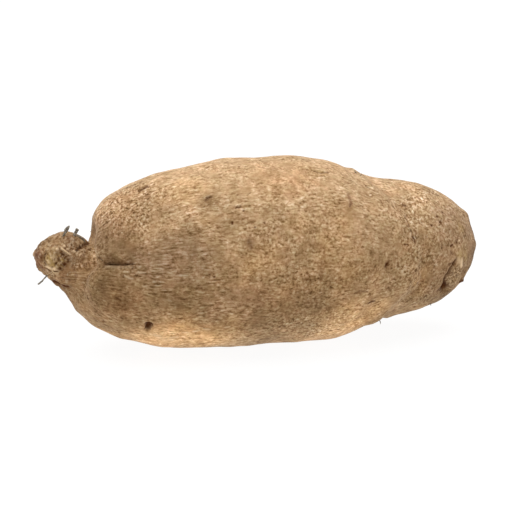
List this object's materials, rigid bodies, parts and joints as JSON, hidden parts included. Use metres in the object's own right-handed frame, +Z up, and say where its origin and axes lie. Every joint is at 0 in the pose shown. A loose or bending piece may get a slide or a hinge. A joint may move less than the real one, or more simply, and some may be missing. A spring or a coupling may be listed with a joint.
{
  "type": "yam tuber",
  "caption": "Whole yam tuber lying on its side: long rounded body with a knobbed head, a blunt toe and a matte, corky, fibrous skin.",
  "frame": {"origin": "on the surface the tuber lies on, below the middle of its box", "axes": "+X along the tuber from its knobbed head to its blunt toe, -Y to the front that shows the dried crown, +Z up"},
  "size_m": [0.279, 0.1086, 0.1159],
  "materials": {
    "corky_skin": "matte"
  },
  "bodies": {
    "root": {"yam_tuber": "corky_skin"}
  },
  "joints": []
}
